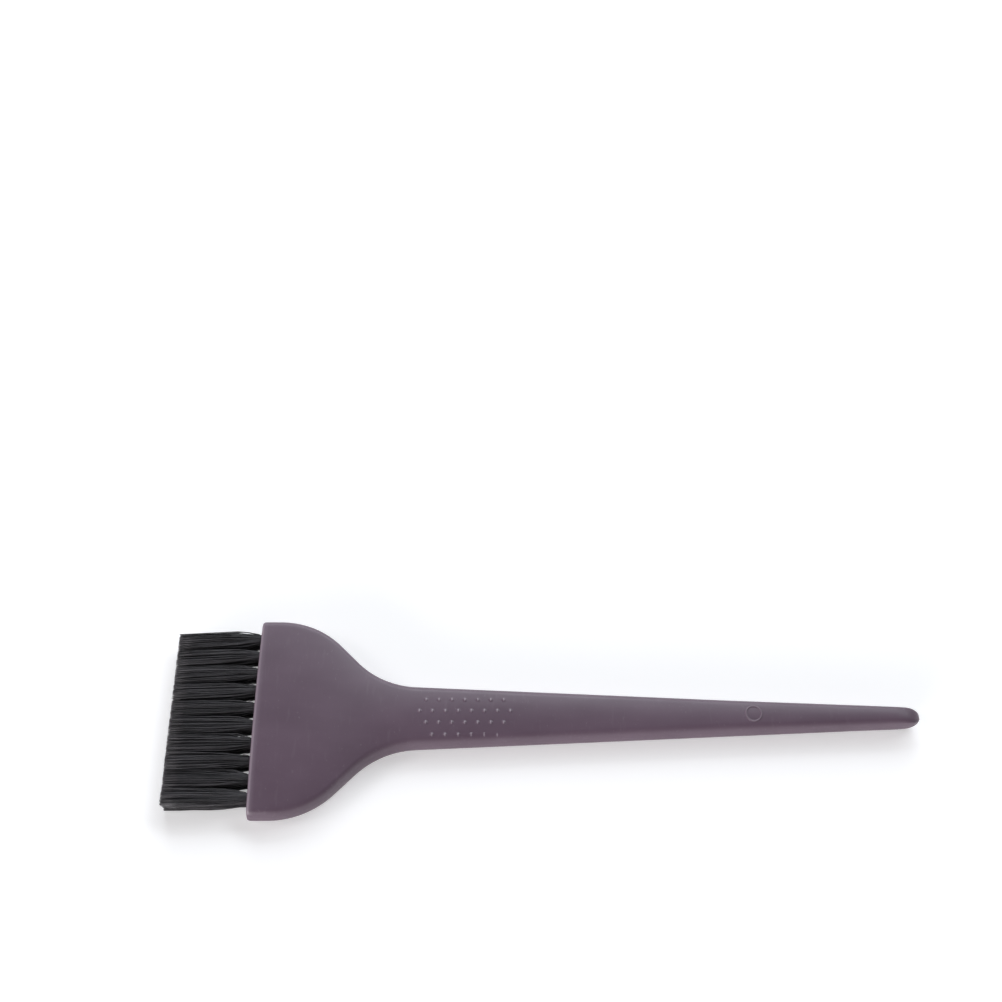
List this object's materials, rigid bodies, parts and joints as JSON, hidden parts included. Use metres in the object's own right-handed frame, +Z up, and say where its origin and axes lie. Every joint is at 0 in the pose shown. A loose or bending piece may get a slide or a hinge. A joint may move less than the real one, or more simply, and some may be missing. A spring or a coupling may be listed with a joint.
{
  "type": "tint brush",
  "caption": "Hair tint brush: a wide flat head with a straight edge of short stiff bristles, an S-curved neck, a dotted grip and a slim tapered tail for parting hair.",
  "frame": {"origin": "middle of the whole brush in plan, on the plane that its flat back lies on", "axes": "+X towards the handle's tip, with the bristles at -X; +Y across the head; +Z up out of the dotted face"},
  "size_m": [0.214, 0.059, 0.0092],
  "materials": {
    "handle_plastic": "satin mauve-grey moulded polypropylene",
    "bristle": "black nylon filament",
    "anchor_wire": "bright flat wire"
  },
  "bodies": {
    "root": {"anchor_bottom_01": "anchor_wire", "anchor_bottom_02": "anchor_wire", "anchor_bottom_03": "anchor_wire", "anchor_bottom_04": "anchor_wire", "anchor_bottom_05": "anchor_wire", "anchor_bottom_06": "anchor_wire", "anchor_bottom_07": "anchor_wire", "anchor_bottom_08": "anchor_wire", "anchor_bottom_09": "anchor_wire", "anchor_bottom_10": "anchor_wire", "anchor_top_01": "anchor_wire", "anchor_top_02": "anchor_wire", "anchor_top_03": "anchor_wire", "anchor_top_04": "anchor_wire", "anchor_top_05": "anchor_wire", "anchor_top_06": "anchor_wire", "anchor_top_07": "anchor_wire", "anchor_top_08": "anchor_wire", "anchor_top_09": "anchor_wire", "anchor_top_10": "anchor_wire", "handle": "handle_plastic", "tuft_bottom_01": "bristle", "tuft_bottom_02": "bristle", "tuft_bottom_03": "bristle", "tuft_bottom_04": "bristle", "tuft_bottom_05": "bristle", "tuft_bottom_06": "bristle", "tuft_bottom_07": "bristle", "tuft_bottom_08": "bristle", "tuft_bottom_09": "bristle", "tuft_bottom_10": "bristle", "tuft_top_01": "bristle", "tuft_top_02": "bristle", "tuft_top_03": "bristle", "tuft_top_04": "bristle", "tuft_top_05": "bristle", "tuft_top_06": "bristle", "tuft_top_07": "bristle", "tuft_top_08": "bristle", "tuft_top_09": "bristle", "tuft_top_10": "bristle"}
  },
  "joints": []
}
